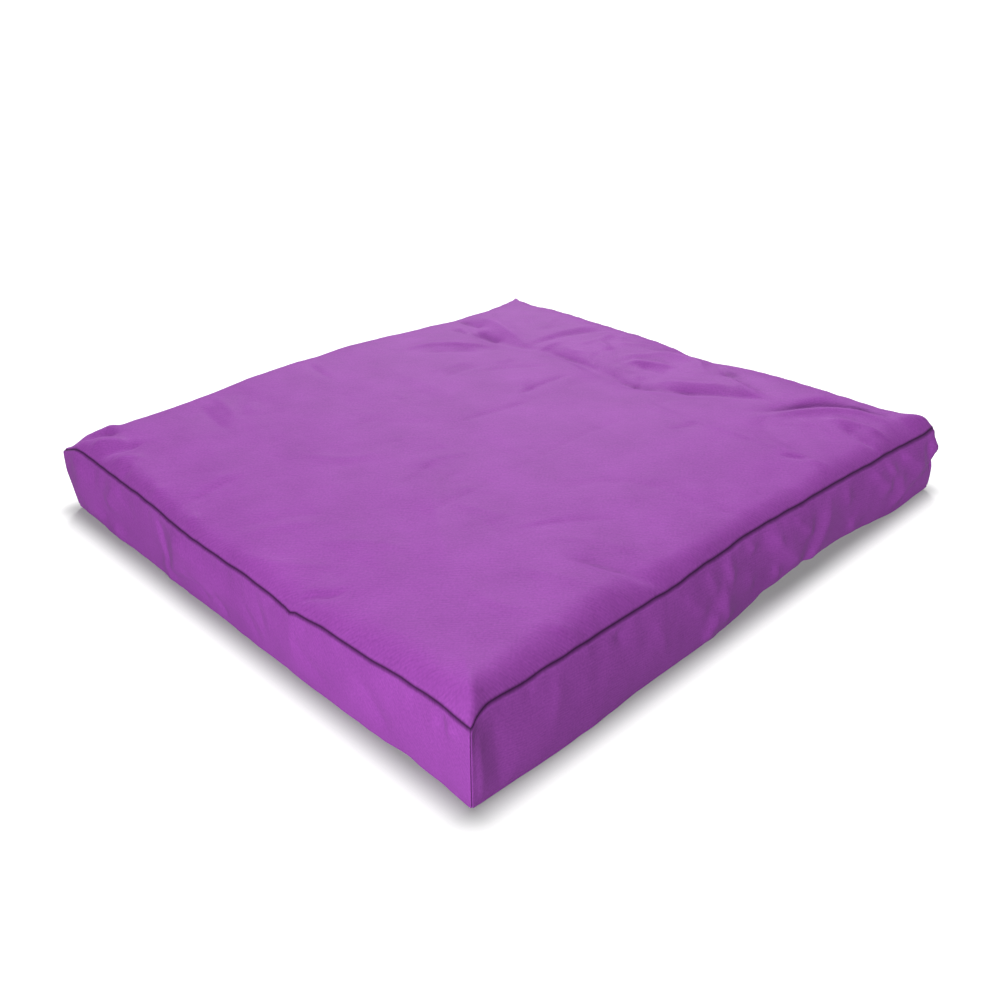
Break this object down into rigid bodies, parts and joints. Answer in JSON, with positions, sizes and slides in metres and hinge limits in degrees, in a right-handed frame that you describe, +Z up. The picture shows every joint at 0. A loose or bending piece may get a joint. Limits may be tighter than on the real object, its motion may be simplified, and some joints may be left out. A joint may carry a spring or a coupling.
{
  "type": "zabuton",
  "caption": "Square box-sided zabuton floor cushion of plain twill, softly filled, with a low creased crown and plain turned-in seams.",
  "frame": {"origin": "middle of the face that rests on the floor", "axes": "+Z up out of the top panel, +Y along the longer side, +X along the shorter side"},
  "size_m": [0.7385, 0.7829, 0.1205],
  "materials": {
    "twill": "matte purple cotton twill"
  },
  "bodies": {
    "root": {"cushion": "twill"}
  },
  "joints": []
}
